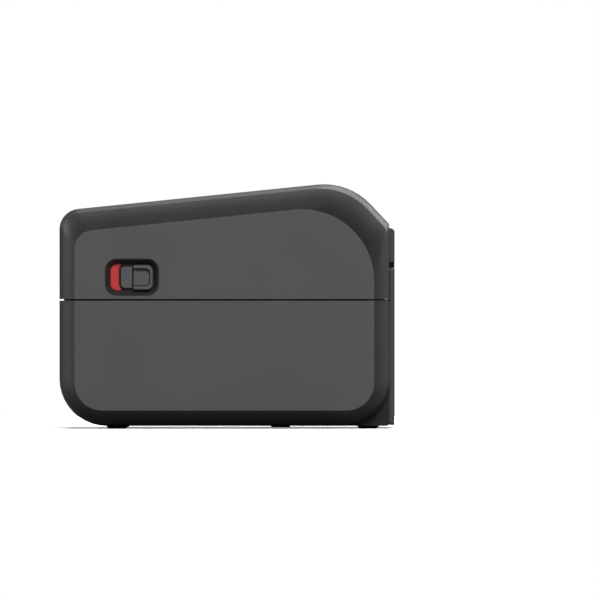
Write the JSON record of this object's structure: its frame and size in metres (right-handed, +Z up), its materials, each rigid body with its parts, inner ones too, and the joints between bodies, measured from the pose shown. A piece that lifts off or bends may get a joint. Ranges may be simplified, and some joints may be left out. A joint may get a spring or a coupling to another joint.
{
  "type": "thermal label printer",
  "caption": "Desktop direct thermal label printer with a hinged lid, side latches, driven platen, sprung print head and coupled roll guides.",
  "frame": {"origin": "on the table under the middle of the housing, between the feet", "axes": "+X runs from the label exit at the front to the hinge at the rear, +Y to the printer's left side, +Z up"},
  "size_m": [0.22, 0.176, 0.1605],
  "materials": {
    "housing": "fine moulded texture",
    "trim": "fine moulded texture",
    "inner": "moulded",
    "grip": "satin moulded",
    "marker": "moulded in red",
    "foot": "soft rubber",
    "roller": "ground rubber",
    "gear": "natural acetal",
    "bushing": "natural acetal",
    "steel": "ground",
    "plated": "zinc plated sheet",
    "brass": "machined",
    "aluminium": "extruded",
    "ceramic": "glazed ceramic",
    "board": "solder mask",
    "socket": "plated shell",
    "black_part": "moulded",
    "light": "clear light guide",
    "spring": "wire"
  },
  "bodies": {
    "base": {"base_shell": "housing", "rear_panel": "trim", "rubber_feet": "foot", "chassis": "inner", "roll_tray": "inner", "label_deck": "inner", "tear_bar": "steel", "platen_bearings": "bushing", "idler_stud": "steel", "stepper_motor": "plated", "rack_stud": "steel", "sensor_rail": "steel", "main_board": "board", "dc_inlet": "black_part", "usb_port": "socket", "ethernet_port": "socket", "power_switch": "black_part", "status_ring": "light", "button_board": "board", "screws": "steel", "latch_strikes": "plated", "hinge_pins": "steel"},
    "platen": {"platen_shaft": "steel", "platen_rubber": "roller", "platen_gear": "gear"},
    "idler": {"idler_gear": "gear"},
    "rotor": {"motor_shaft": "steel", "motor_pinion": "brass"},
    "pinion": {"rack_pinion": "gear"},
    "right_guide": {"roll_guide_right": "grip"},
    "left_guide": {"roll_guide_left": "grip"},
    "right_hub": {"roll_hub_right": "trim"},
    "left_hub": {"roll_hub_left": "trim"},
    "sensor": {"label_sensor": "black_part"},
    "rocker": {"power_rocker": "black_part"},
    "button": {"feed_button": "grip"},
    "lid": {"lid_shell": "housing", "lid_strip": "trim", "latch_bezel_right": "trim", "latch_bezel_left": "trim", "latch_marker_right": "marker", "latch_marker_left": "marker", "hook_pins": "steel", "latch_spring_right": "spring", "latch_spring_left": "spring", "head_frame": "plated", "head_pivot_pin": "steel", "head_springs": "spring"},
    "right_slider": {"latch_slider_right": "grip"},
    "left_slider": {"latch_slider_left": "grip"},
    "right_hook": {"latch_hook_right": "plated"},
    "left_hook": {"latch_hook_left": "plated"},
    "head": {"print_head": "aluminium", "head_board": "ceramic"}
  },
  "joints": [
    {"name": "lid_hinge", "type": "hinge", "parent": "base", "child": "lid", "pos_m": [0.107, 0, 0.1093], "axis": [0, 1, 0], "range_deg": [0, 95]},
    {"name": "platen_spin", "type": "hinge", "parent": "base", "child": "platen", "pos_m": [-0.0965, 0, 0.0775], "axis": [0, 1, 0], "continuous": true},
    {"name": "idler_spin", "type": "hinge", "parent": "base", "child": "idler", "pos_m": [-0.0887, 0.074, 0.06636], "axis": [0, 1, 0], "continuous": true},
    {"name": "motor_spin", "type": "hinge", "parent": "base", "child": "rotor", "pos_m": [-0.07533, 0.074, 0.05043], "axis": [0, 1, 0], "continuous": true},
    {"name": "right_guide_slide", "type": "slide", "parent": "base", "child": "right_guide", "axis": [0, 1, 0], "range_m": [0, 0.0465]},
    {"name": "left_guide_slide", "type": "slide", "parent": "base", "child": "left_guide", "axis": [0, -1, 0], "range_m": [0, 0.0465]},
    {"name": "guide_pinion_spin", "type": "hinge", "parent": "base", "child": "pinion", "pos_m": [0.01305, 0, 0.0108], "axis": [0, 0, 1], "range_deg": [-381, 0]},
    {"name": "right_hub_spin", "type": "hinge", "parent": "right_guide", "child": "right_hub", "pos_m": [0.01305, -0.055, 0.084], "axis": [0, 1, 0], "continuous": true},
    {"name": "left_hub_spin", "type": "hinge", "parent": "left_guide", "child": "left_hub", "pos_m": [0.01305, 0.055, 0.084], "axis": [0, 1, 0], "continuous": true},
    {"name": "sensor_slide", "type": "slide", "parent": "base", "child": "sensor", "axis": [0, 1, 0], "range_m": [-0.045, 0.045]},
    {"name": "power_rocker_tilt", "type": "hinge", "parent": "base", "child": "rocker", "pos_m": [0.1014, 0.044, 0.042], "axis": [0, 0, 1], "range_deg": [0, 16]},
    {"name": "feed_button_press", "type": "slide", "parent": "base", "child": "button", "axis": [1, 0, 0], "range_m": [0, 0.0008], "stiffness_N_per_m": 800},
    {"name": "right_latch_slide", "type": "slide", "parent": "lid", "child": "right_slider", "axis": [-1, 0, 0], "range_m": [0, 0.0063], "stiffness_N_per_m": 400, "deforming": ["latch_spring_right"]},
    {"name": "right_hook_swing", "type": "hinge", "parent": "lid", "child": "right_hook", "pos_m": [-0.0581, -0.0803, 0.118], "axis": [0, 1, 0], "range_deg": [0, 18.8]},
    {"name": "left_latch_slide", "type": "slide", "parent": "lid", "child": "left_slider", "axis": [-1, 0, 0], "range_m": [0, 0.0063], "stiffness_N_per_m": 400, "deforming": ["latch_spring_left"]},
    {"name": "left_hook_swing", "type": "hinge", "parent": "lid", "child": "left_hook", "pos_m": [-0.0581, 0.0803, 0.118], "axis": [0, 1, 0], "range_deg": [0, 18.8]},
    {"name": "print_head_tilt", "type": "hinge", "parent": "lid", "child": "head", "pos_m": [-0.076, 0, 0.092], "axis": [0, 1, 0], "range_deg": [0, 2], "stiffness_Nm_per_rad": 4, "deforming": ["head_springs"]}
  ],
  "couplings": [
    {"joint": "idler_spin", "follows": "platen_spin", "ratio": -1.4286},
    {"joint": "motor_spin", "follows": "platen_spin", "ratio": 4.7619},
    {"joint": "left_guide_slide", "follows": "right_guide_slide", "ratio": 1},
    {"joint": "guide_pinion_spin", "follows": "right_guide_slide", "rad_per_m": -142.86},
    {"joint": "right_hook_swing", "follows": "right_latch_slide", "rad_per_m": 51.9},
    {"joint": "left_hook_swing", "follows": "left_latch_slide", "rad_per_m": 51.9}
  ]
}
